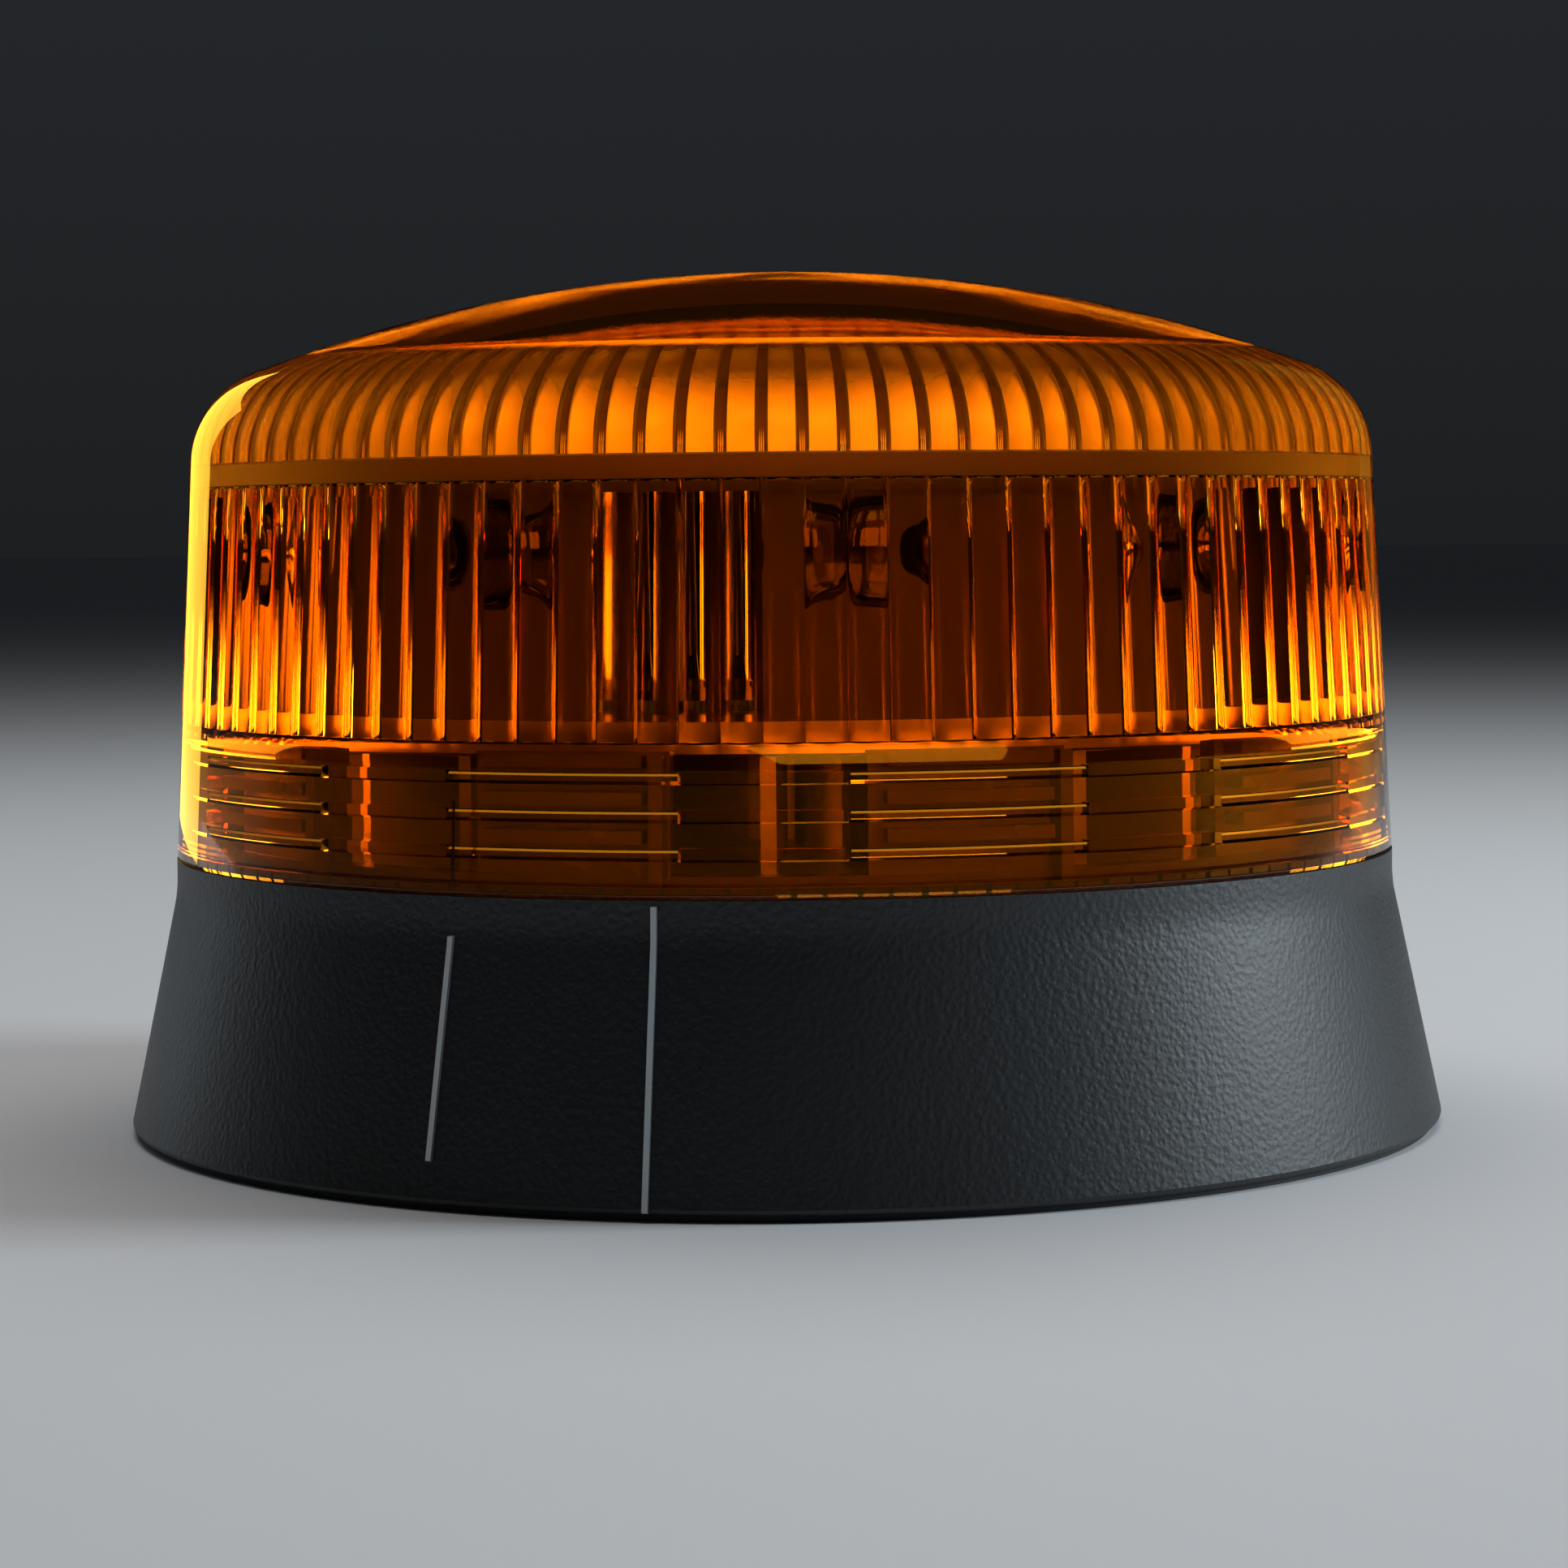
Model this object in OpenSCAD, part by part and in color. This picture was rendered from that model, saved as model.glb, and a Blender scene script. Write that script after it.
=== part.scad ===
// Flat-mounted amber LED warning beacon.
// Millimetres, +Z up. The origin is the centre of the mounting face, and -Y is the front.

/* [Housing] */
// Diameter of the housing at its bottom rim
base_d = 150; // [146:0.5:156]
// Height of the ledge that the lens stands on
ledge_z = 31; // [30.5:0.1:32]
// Diameter of the housing's straight neck
neck_d = 139; // [138.6:0.1:140]
// Wall of the flared skirt
skirt_wall = 3; // [2.5:0.1:3.4]
// How far the foot gasket stands out below the rim
gasket_proud = 0.6; // [0.4:0.1:1]
// Top of the deck that carries the light tower
deck_z = 28.5; // [28:0.1:28.6]
// Thickness of the deck
deck_t = 3.5; // [3:0.1:4]

/* [Lens] */
// Overall height of the beacon
total_h = 96.6; // [95:0.1:99]
// Radius of the lens's crown
crown_r = 168; // [160:1:180]
// Radius of the lens's shoulder
shoulder_r = 11; // [9:0.5:12]
// How far the lens wall leans in for each millimetre of height
wall_lean = 0.051; // [0.045:0.001:0.055]
// Mean wall of the lens
lens_wall = 3.2; // [2.8:0.1:3.4]
// Top of the plain band at the foot of the lens
band_z = 46.4; // [46:0.1:48]

/* [Bayonet] */
// Number of lug stacks round the lens
lug_n = 10; // [10:1:10]
// Lugs in one stack
tier_n = 3; // [2:1:3]
// Height from one tier of lugs to the next
tier_pitch = 3.8; // [3.6:0.1:3.8]
// Thickness of a lug
lug_t = 1.3; // [1.1:0.1:1.3]
// Angle that one lug spans
lug_span = 15; // [13:0.5:15]

/* [Light tower] */
// Radius of the tower's pods and plates
tower_r = 57; // [55:0.5:57]
// Underside of the pods
pod_z = 48; // [47:0.5:49]
// Height of the pods
pod_h = 23.2; // [22:0.1:24]
// Number of pods
pod_n = 5; // [5:1:5]
// Angle of the open gap between two pods
pod_gap = 16; // [12:1:20]
// Radius of a reflector cup at its mouth
cup_r = 5.2; // [4.4:0.1:5.3]

/* [Fixings] */
// Bolt circle of the three mounting inserts
mount_pcd = 130; // [128:0.5:131]
// Tapped radius of a mounting insert
mount_r = 2.5; // [2:0.1:3]
// Radius of the cable's bore in its grommet
cable_r = 3.1; // [2.5:0.1:3.4]

/* [Hidden] */
$fn = 96;
eps = 0.01;
base_r = base_d / 2;
neck_r = neck_d / 2;
rim_z = gasket_proud;
deck_under = deck_z - deck_t;

// Angles from the front: the long line marks the lens's locked place, the short one its open place
front_mark = -10.7;
sector = 360 / lug_n;

// Flare of the skirt, and the concave blend into the neck
neck_z = ledge_z - 2;
blend = 1.6;
flare = atan((base_r - neck_r) / (neck_z - blend - rim_z));
blend_r = blend / tan(flare / 2);
rim_round = 0.8;

// Lens: straight wall, shoulder arc and crown arc, each tangent to the next
function wall_r(z, off = 0) = neck_r - wall_lean * (z - ledge_z) - off;
lean_k = sqrt(1 + wall_lean * wall_lean);
crown_z = total_h - crown_r;
arc_a = neck_r + wall_lean * ledge_z - shoulder_r * lean_k;
arc_q = crown_r - shoulder_r;
arc_b = arc_a * wall_lean + crown_z;
arc_c = arc_a * arc_a + crown_z * crown_z - arc_q * arc_q;
shoulder_z = (arc_b + sqrt(arc_b * arc_b - lean_k * lean_k * arc_c)) / (lean_k * lean_k);
shoulder_x = arc_a - wall_lean * shoulder_z;
crown_edge = atan2(shoulder_z - crown_z, shoulder_x);
wall_tilt = atan(wall_lean);

// Bayonet: radii of the lens's lugs, the collar's lugs and the walls behind them
band_r = 66.5;
lens_lug_r = 64.8;
collar_r = 64.2;
collar_lug_r = 66.1;
collar_wall = 2.4;
collar_flange_r = 56.8;
collar_screw_ring = 59.6;
first_tier = 34.6;
tier_gap = 0.4;
collar_top = first_tier + (tier_n - 1) * tier_pitch + 2 * lug_t + tier_gap;
lug_mid = front_mark - sector / 4;
stop_from = 8.1;
stop_to = 9.3;

// Electronics chamber
chamber_r = 56;
chamber_wall = 2.5;
cover_z = 1.8;
cover_t = 2.2;
cover_top = cover_z + cover_t;
chamber_z = cover_top + 0.5;
board_r = 45.5;
board_z = 19;
board_t = 1.6;
cover_screw_ring = 51;
board_screw_ring = 40;
button_at = [26, 22];
switch_h = 3.5;
nub_h = 0.8;
button_gap = 1.3;

// Light tower
tower_floor = 45.5;
pod_in_r = 34;
pod_out_r = tower_r - 0.5;
pod_top = pod_z + pod_h;
cup_z = pod_z + 17;
cup_depth = 8;
cup_back_r = 2.4;
optic_r = cup_r - 0.5;
top_plate_t = 1.6;
led_ring_r = pod_out_r - cup_depth;
wiring_t = 1.2;
pod_screw_ring = 39.5;
tower_screw_ring = 20;

// ---------- shared shapes ----------

function arc(centre, r, from, to, steps) =
    [for (i = [0:steps]) let (a = from + (to - from) * i / steps) centre + r * [cos(a), sin(a)]];

function reversed(points) = [for (i = [len(points) - 1:-1:0]) points[i]];

// Outside of the housing from the rim up to the ledge, pushed out by off
function skirt_face(off = 0) = concat(
    arc([base_r - rim_round, rim_z + rim_round], rim_round + off, -90, -flare / 2, 4),
    reversed(arc([neck_r + blend_r, neck_z], blend_r - off, 180, 180 + flare, 6)),
    [[neck_r + off, ledge_z]]
);

// Outside of the lens from z up to the crown's centre, pushed in by off
function lens_face(z, off = 0) = concat(
    [[wall_r(z, off * lean_k), z]],
    arc([shoulder_x, shoulder_z], shoulder_r - off, wall_tilt, crown_edge, 9),
    arc([0, crown_z], crown_r - off, crown_edge + 2, 90, 11)
);

module ring(r_in, r_out, z, h) {
    translate([0, 0, z]) difference() {
        cylinder(r = r_out, h = h);
        translate([0, 0, -1]) cylinder(r = r_in, h = h + 2);
    }
}

module ring_part(r_in, r_out, z, h, from, to) {
    rotate([0, 0, from]) rotate_extrude(angle = to - from)
        translate([r_in, z]) square([r_out - r_in, h]);
}

module around(n, r = 0, from = 0) {
    for (i = [0:n - 1]) rotate([0, 0, from + i * 360 / n]) translate([r, 0, 0]) children();
}

// Puts children, made facing +X, where they face angle a from the front
module facing(a) {
    rotate([0, 0, a - 90]) children();
}

// Screw with its head on top at z = 0 and its shank going down
module screw(r, length, head_r, head_h) {
    difference() {
        union() {
            translate([0, 0, -length]) cylinder(r = r, h = length + eps, $fn = 32);
            cylinder(r = head_r, h = head_h, $fn = 48);
        }
        translate([0, 0, head_h * 0.4]) cylinder(r = head_r * 0.5, h = head_h, $fn = 6);
    }
}

// ---------- housing and what it holds below the deck ----------

module housing_shell() {
    foot_r = base_r - 5;
    inner_top = deck_under;
    inner_low = 5;
    inner_low_r = base_r - (inner_low - rim_z) * tan(flare) - skirt_wall / cos(flare);
    inner_top_r = base_r - (inner_top - rim_z) * tan(flare) - skirt_wall / cos(flare);
    rotate_extrude($fn = 180) polygon(concat(
        skirt_face(),
        [[collar_lug_r + 0.5, ledge_z], [collar_lug_r + 0.5, deck_z], [0, deck_z], [0, deck_under]],
        [[chamber_r, deck_under], [chamber_r, chamber_z], [chamber_r + chamber_wall, chamber_z]],
        [[chamber_r + chamber_wall, deck_under], [inner_top_r, inner_top], [inner_low_r, inner_low]],
        [[foot_r, inner_low - 1], [foot_r, rim_z], [foot_r + 0.6, rim_z], [foot_r + 0.6, rim_z + 1]],
        [[base_r - 1, rim_z + 1], [base_r - 1, rim_z]]
    ));
}

module skirt_web() {
    web_t = 2;
    low = 4.6;
    low_r = base_r - (low - rim_z) * tan(flare) - 1;
    top_r = base_r - (deck_under - rim_z) * tan(flare) - 1;
    top = deck_under + 1;
    rotate([90, 0, 0]) translate([0, 0, -web_t / 2]) linear_extrude(web_t)
        polygon([[chamber_r + 1, low], [low_r, low], [top_r, top], [chamber_r + 1, top]]);
}

// A fine raised line that follows the skirt from one height to another
module index_line(angle, from_z, to_z) {
    width = 0.5;
    proud = 0.35;
    facing(angle) intersection() {
        rotate([0, 0, -width / 2]) rotate_extrude(angle = width)
            polygon(concat(skirt_face(proud), reversed(skirt_face(-1))));
        translate([0, -5, from_z]) cube([base_r + 2, 10, to_z - from_z]);
    }
}

module base_housing() {
    boss_r = 5.4;
    boss_h = 16;
    color("#1b1d20") difference() {
        union() {
            housing_shell();
            around(15, from = 6) skirt_web();
            around(3, mount_pcd / 2, 90) translate([0, 0, rim_z]) cylinder(r = boss_r, h = boss_h, $fn = 64);
            around(3, chamber_r + 1, 90) translate([0, -3.5, chamber_z + 1]) cube([6, 7, deck_under - chamber_z]);
            around(5, tower_screw_ring, 0)
                translate([0, 0, deck_under - 3.6]) cylinder(r = 3.6, h = 4, $fn = 48);
            around(6, cover_screw_ring, 30)
                translate([0, 0, chamber_z]) cylinder(r = 4, h = deck_under - 4, $fn = 48);
            around(4, board_screw_ring, 45)
                translate([0, 0, board_z + board_t]) cylinder(r = 3.4, h = deck_under - board_z, $fn = 48);
            index_line(front_mark - sector / 2, 5, 27);
            index_line(front_mark, rim_z + 0.4, 30.4);
        }
        around(3, mount_pcd / 2, 90) translate([0, 0, rim_z - 1]) cylinder(r = 4.2, h = 12, $fn = 48);
        around(6, cover_screw_ring, 30) translate([0, 0, 3]) cylinder(r = 1.3, h = 10, $fn = 32);
        around(4, board_screw_ring, 45) translate([0, 0, board_z]) cylinder(r = 1.3, h = 7, $fn = 32);
        around(5, tower_screw_ring, 0) translate([0, 0, deck_z - 6.6]) cylinder(r = 1.7, h = 8, $fn = 32);
        around(lug_n / 2, collar_screw_ring, 0)
            translate([0, 0, deck_z - 2.9]) cylinder(r = 1.2, h = 4, $fn = 32);
        translate([0, 0, deck_under - 1]) cylinder(r = 5, h = deck_t + 2, $fn = 48);
    }
}

module base_gasket() {
    color("#101112") ring(base_r - 4.4, base_r - 1, 0, rim_z + 1);
}

module threaded_inserts() {
    color("#b8975a") around(3, mount_pcd / 2, 90) difference() {
        translate([0, 0, rim_z + 0.2]) cylinder(r = 4.2, h = 10.6, $fn = 48);
        translate([0, 0, rim_z - 1]) cylinder(r = mount_r, h = 14, $fn = 48);
    }
}

module bottom_cover() {
    color("#26282b") difference() {
        union() {
            translate([0, 0, cover_z]) cylinder(r = chamber_r + 2.3, h = cover_t, $fn = 128);
            translate([button_at.x, button_at.y, cover_top - 1]) ring(5, 7, 0, 3);
        }
        around(6, cover_screw_ring, 30) translate([0, 0, 0]) cylinder(r = 1.7, h = 6, $fn = 32);
        around(6, cover_screw_ring, 30) translate([0, 0, cover_z - 1]) cylinder(r = 3, h = 2.2, $fn = 32);
        cylinder(r = 6.5, h = 8, $fn = 64);
        translate([button_at.x, button_at.y, 0]) cylinder(r = 5, h = 8, $fn = 48);
        translate([-26, -18, 0]) cylinder(r = 4, h = 8, $fn = 48);
    }
}

module cover_seal() {
    color("#17181a") ring(chamber_r + 0.2, chamber_r + 2.2, cover_top, 0.5);
}

module cover_screws() {
    color("#9a9da1") around(6, cover_screw_ring, 30) translate([0, 0, cover_z + 1.2])
        rotate([180, 0, 0]) screw(1.3, 8, 2.8, 1.1);
}

module cable_grommet() {
    flange_r = 8.5;
    neck_r = 6.5;
    color("#141516") rotate_extrude() polygon([
        [cable_r, 0.8], [6, 0.8], [flange_r - 0.4, 1.2], [flange_r - 0.4, cover_z],
        [neck_r, cover_z], [neck_r, cover_top], [flange_r, cover_top], [flange_r, cover_top + 1.4],
        [5.4, cover_top + 2.6], [4.8, 9.8], [cable_r, 9.8]
    ]);
}

module breather_vent() {
    color("#3a3c40") translate([-26, -18, 0]) difference() {
        union() {
            translate([0, 0, cover_z - 0.6]) cylinder(r = 5, h = 0.6, $fn = 48);
            translate([0, 0, cover_z - 0.1]) cylinder(r = 4, h = cover_t + 1.6, $fn = 48);
        }
        around(4, 2, 45) translate([0, 0, cover_z - 2]) cylinder(r = 0.7, h = 3.4, $fn = 24);
        translate([0, 0, cover_z + 1.4]) cylinder(r = 2.9, h = 4, $fn = 48);
    }
}

module driver_board() {
    color("#1f5a38") difference() {
        translate([0, 0, board_z]) cylinder(r = board_r, h = board_t, $fn = 128);
        around(4, board_screw_ring, 45) translate([0, 0, board_z - 1]) cylinder(r = 1.7, h = 4, $fn = 32);
    }
}

module board_screws() {
    color("#9a9da1") around(4, board_screw_ring, 45) translate([0, 0, board_z])
        rotate([180, 0, 0]) screw(1.3, 6, 2.8, 1.8);
}

module capacitors() {
    can_h = 11;
    color("#2b3450") for (at = [[20, -10], [31, -13], [12, -24]])
        translate([at.x, at.y, board_z - can_h]) {
            cylinder(r = 4.4, h = can_h - 1.2, $fn = 48);
            translate([0, 0, can_h - 1.2]) cylinder(r = 4.1, h = 1.2, $fn = 48);
        }
}

module power_inductor() {
    size = 14;
    color("#3c3f45") translate([12, 12, board_z - 8]) difference() {
        translate([-size / 2, -size / 2, 0]) cube([size, size, 8]);
        translate([0, 0, -1]) difference() {
            cylinder(r = 6.2, h = 2, $fn = 64);
            translate([0, 0, -1]) cylinder(r = 4.6, h = 4, $fn = 64);
        }
    }
}

module control_chip() {
    color("#17181a") translate([-22, 6, board_z - 1.6]) {
        translate([-5, -5, 0]) cube([10, 10, 1.4]);
        for (side = [0:3]) rotate([0, 0, side * 90]) for (i = [-3:3])
            translate([5 - eps, i * 1.2 - 0.25, 0.7]) cube([1.3, 0.5, 0.9]);
    }
}

module power_transistors() {
    color("#1d1e21") for (i = [0:2]) translate([-34 + i * 9, -16, board_z - 2.3]) {
        translate([0, 0, 0]) cube([6.5, 6, 2.3]);
        translate([0.4, 6 - eps, 1.5]) cube([5.7, 2, 0.8]);
    }
}

module terminal_block() {
    color("#2f6b3c") translate([-9, 26, board_z - 9]) difference() {
        cube([18, 9, 9]);
        for (i = [0:2]) translate([3 + i * 6, -1, 2]) translate([-2, 0, 0]) cube([4, 7, 4]);
        for (i = [0:2]) translate([3 + i * 6, 4.5, -1]) cylinder(r = 1.8, h = 2.2, $fn = 32);
    }
}

module tact_switch() {
    color("#8f9296") translate([button_at.x, button_at.y, board_z - switch_h]) {
        translate([-3, -3, 0]) cube([6, 6, switch_h]);
        translate([0, 0, -nub_h]) cylinder(r = 1.7, h = nub_h + 0.2, $fn = 32);
    }
}

// The plunger's travel ends when its stem meets the switch
module mode_button() {
    stem_top = board_z - switch_h - nub_h - button_gap;
    color("#6a1f1c") translate([button_at.x, button_at.y, 0]) {
        translate([0, 0, cover_z - 0.4]) cylinder(r = 3.4, h = 3.2, $fn = 48);
        translate([0, 0, cover_top]) cylinder(r = 2, h = stem_top - cover_top, $fn = 32);
        translate([0, 0, cover_top + 1.7]) cylinder(r = 4.5, h = 0.9, $fn = 48);
    }
}

module button_boot() {
    color("#141516") translate([button_at.x, button_at.y, 0]) ring(3.7, 5, cover_z, cover_t + 1.4);
}

// ---------- above the deck ----------

module heat_sink() {
    fin_t = 1.6;
    color("#b4b7ba") difference() {
        union() {
            translate([0, 0, deck_z]) cylinder(r = 56, h = 3, $fn = 128);
            translate([0, 0, deck_z]) cylinder(r = 14, h = tower_floor - deck_z, $fn = 64);
            around(20, from = front_mark - 90 + 9)
                translate([12, -fin_t / 2, deck_z + 2]) cube([42, fin_t, tower_floor - deck_z - 2.4]);
            around(5, tower_screw_ring, 0)
                translate([0, 0, deck_z]) cylinder(r = 5, h = tower_floor - deck_z, $fn = 48);
        }
        around(5, tower_screw_ring, 0) translate([0, 0, deck_z - 1]) cylinder(r = 1.7, h = 22, $fn = 32);
        translate([0, 0, deck_z - 1]) cylinder(r = 5, h = 22, $fn = 48);
    }
}

module heat_sink_screws() {
    color("#9a9da1") around(5, tower_screw_ring, 0) translate([0, 0, pod_z]) screw(1.7, 26, 3, 1.8);
}

module deck_grommet() {
    color("#141516") ring(2.6, 5, deck_under - 1, deck_z - deck_under + 4);
}

// Two insulated leads from the driver board up to the wiring board
module wire_link() {
    wire_r = 1.1;
    color("#8c1f1a") for (side = [-1, 1]) translate([side * 1.3, 0, board_z + board_t])
        cylinder(r = wire_r, h = pod_z - board_z - board_t, $fn = 24);
}

module collar_lug_stack() {
    for (i = [0:tier_n - 1])
        ring_part(collar_r - 1, collar_lug_r, first_tier + lug_t + tier_gap + i * tier_pitch, lug_t,
                  -lug_span / 2, lug_span / 2);
    ring_part(collar_r - 1, collar_lug_r, ledge_z + 0.4, collar_top - ledge_z - 0.4, stop_from, stop_to);
}

// A flange with one upright for each stack of lugs, and open windows between the uprights
module bayonet_collar() {
    upright_h = collar_top + 0.5 - deck_z;
    upright_r = collar_r - 0.3;
    upright_in = collar_r - collar_wall + 0.3;
    rib_in = 2.1;
    color("#202226") difference() {
        union() {
            ring(collar_flange_r, collar_lug_r, deck_z, 2.1);
            ring(collar_r - collar_wall, collar_r, deck_z + 1, 3.4);
            around(lug_n, from = lug_mid - 90)
                ring_part(upright_in, upright_r, deck_z + 1, upright_h - 1, -8.9, 9.6);
            around(lug_n, from = lug_mid - 90) collar_lug_stack();
            for (side = [-1, 1]) around(lug_n, collar_r - collar_wall - rib_in, lug_mid - 90 + side * 6)
                translate([0, -0.8, deck_z + 1.5]) cube([rib_in + 1, 1.6, upright_h - 4]);
        }
        around(lug_n / 2, collar_screw_ring, 0)
            translate([0, 0, deck_z - 1]) cylinder(r = 1.4, h = 4, $fn = 32);
    }
}

module collar_screws() {
    color("#9a9da1") around(lug_n / 2, collar_screw_ring, 0)
        translate([0, 0, deck_z + 2.1]) screw(1.2, 4.6, 2.1, 1.5);
}

module tower_plate() {
    color("#c3c5c8") difference() {
        translate([0, 0, tower_floor]) cylinder(r = tower_r, h = pod_z - tower_floor, $fn = 128);
        around(5, tower_screw_ring, 0) translate([0, 0, tower_floor - 1]) cylinder(r = 1.7, h = 5, $fn = 32);
        translate([0, 0, tower_floor - 1]) cylinder(r = 2.8, h = 5, $fn = 32);
        around(pod_n, pod_screw_ring, front_mark - 54)
            translate([0, 0, tower_floor - 1]) cylinder(r = 1.3, h = 5, $fn = 32);
    }
}

// Flat board under the pods that feeds every light
module wiring_board() {
    color("#1f5a38") difference() {
        translate([0, 0, pod_z]) cylinder(r = pod_in_r - 0.4, h = wiring_t, $fn = 96);
        around(5, tower_screw_ring, 0) translate([0, 0, pod_z - 1]) cylinder(r = 3.6, h = 4, $fn = 32);
    }
}

// A pair of thin leads to each light
module light_leads() {
    wire_r = 0.45;
    rise_r = 31.5;
    bend = -3;
    foot = pod_z + wiring_t - cup_z;
    run = led_ring_r - 2.4 - rise_r;
    color("#8c1f1a") at_lights() for (side = [-1, 1]) translate([rise_r, side * 2, 0]) {
        translate([0, 0, foot]) cylinder(r = wire_r, h = bend - foot, $fn = 24);
        translate([0, 0, bend]) sphere(r = wire_r, $fn = 24);
        translate([0, 0, bend]) rotate([0, 90, 0]) cylinder(r = wire_r, h = run, $fn = 24);
    }
}

// Children face outwards at each light's angle and height
module at_lights() {
    for (i = [0:2 * pod_n - 1]) facing(front_mark + sector / 2 + i * sector)
        translate([0, 0, cup_z]) children();
}

module led_pods() {
    span = 360 / pod_n - pod_gap;
    color("#16171a") difference() {
        for (i = [0:pod_n - 1]) facing(front_mark + 36 + i * 72)
            ring_part(pod_in_r, pod_out_r, pod_z, pod_h, -span / 2, span / 2);
        at_lights() rotate([0, 90, 0]) cylinder(r = cup_r + 0.5, h = tower_r + 5, $fn = 64);
        at_lights() translate([pod_in_r - 2, -5.4, -5.9]) cube([led_ring_r - pod_in_r + 2.4, 10.8, 11.8]);
        around(pod_n, pod_screw_ring, front_mark - 54)
            translate([0, 0, pod_z - 1]) cylinder(r = 1.3, h = pod_h + 2, $fn = 32);
    }
}

// A round bowl that opens towards +X, with a hole at its back for the light source
module cup() {
    widen = cup_r - 0.1 - cup_back_r;
    bowl = [for (i = [0:8]) let (t = i / 8) [cup_back_r + widen * sqrt(t), cup_depth * t]];
    back = reversed([for (p = bowl) [p.x + 0.5, max(p.y - 0.4, 0)]]);
    rotate([0, 90, 0]) rotate_extrude($fn = 64) polygon(concat(bowl, back));
}

module reflector_cups() {
    color("#d8dadc") at_lights() translate([led_ring_r - 0.6, 0, 0]) cup();
}

module led_boards() {
    color("#e4e4e0") at_lights() difference() {
        translate([led_ring_r - 2.4, -5.2, -5.7]) cube([1.2, 10.4, 11.4]);
        for (side = [-1, 1]) translate([led_ring_r - 3, side * 3.8, side * 4.2])
            rotate([0, 90, 0]) cylinder(r = 0.8, h = 3, $fn = 24);
    }
}

module led_emitters() {
    color("#e8c84a") at_lights() {
        translate([led_ring_r - 1.2, -1.7, -1.7]) cube([0.8, 3.4, 3.4]);
        translate([led_ring_r - 0.4 - eps, 0, 0]) rotate([0, 90, 0])
            cylinder(r1 = 1.5, r2 = 0.7, h = 1.1, $fn = 32);
    }
}

// Clear lens over each cup, bulging outwards
module optic_lenses() {
    bulge_r = 8.6;
    thick = 2.8;
    edge = asin(optic_r / bulge_r);
    color("#e9eef2") at_lights() translate([pod_out_r - thick + 0.4, 0, 0]) rotate([0, 90, 0])
        rotate_extrude($fn = 64) polygon(concat(
            [[0, 0], [optic_r, 0]],
            [for (i = [0:7]) let (a = edge * (1 - i / 8))
                [bulge_r * sin(a), bulge_r * cos(a) - bulge_r + thick]],
            [[0, thick]]
        ));
}

module centre_post() {
    foot = pod_z + wiring_t;
    color("#b9bcc0") rotate_extrude() polygon([
        [0, foot], [8.2, foot], [8.2, foot + 1.4], [6.6, foot + 4], [6.2, foot + 8], [4.4, pod_top - 3],
        [4.4, pod_top], [0, pod_top]
    ]);
}

module top_plate() {
    color("#131417") difference() {
        union() {
            translate([0, 0, pod_top]) cylinder(r = tower_r, h = top_plate_t, $fn = 128);
            translate([0, 0, pod_top + top_plate_t - eps]) ring(46, 47.2, 0, 0.6);
        }
        around(pod_n, pod_screw_ring, front_mark - 54)
            translate([0, 0, pod_top - 1]) cylinder(r = 1.6, h = 4, $fn = 32);
    }
}

module pod_screws() {
    color("#9a9da1") around(pod_n, pod_screw_ring, front_mark - 54)
        translate([0, 0, pod_top + top_plate_t]) screw(1.3, pod_h + 3.6, 2.6, 1.7);
}

// ---------- lens ----------

module lens_seal() {
    color("#101112") ring(67.2, 68.8, ledge_z, 1.2);
}

module lens_lug_stack() {
    for (i = [0:tier_n - 1])
        ring_part(lens_lug_r, band_r + 1, first_tier + i * tier_pitch, lug_t, -lug_span / 2, lug_span / 2);
}

module dome_lens() {
    rim = ledge_z + 0.1;
    color("#ff7a12", 0.6) difference() {
        union() {
            rotate_extrude($fn = 180) polygon(concat(
                lens_face(rim),
                reversed(lens_face(band_z, lens_wall)),
                [[band_r, band_z - 0.6], [band_r, rim]]
            ));
            around(lug_n, from = lug_mid - 90 + sector / 2) lens_lug_stack();
            facing(front_mark - sector / 2)
                translate([wall_r(36) - 0.6, -0.25, rim + 0.6]) cube([0.9, 0.5, 9]);
        }
        ring(67.2, 68.8, rim - 1, 2.1);
    }
}

base_housing();
base_gasket();
threaded_inserts();
bottom_cover();
cover_seal();
cover_screws();
cable_grommet();
breather_vent();
driver_board();
board_screws();
capacitors();
power_inductor();
control_chip();
power_transistors();
terminal_block();
tact_switch();
mode_button();
button_boot();
heat_sink();
heat_sink_screws();
deck_grommet();
wire_link();
bayonet_collar();
collar_screws();
tower_plate();
wiring_board();
light_leads();
led_pods();
reflector_cups();
led_boards();
led_emitters();
optic_lenses();
centre_post();
top_plate();
pod_screws();
lens_seal();
dome_lens();
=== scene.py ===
import math

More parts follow.
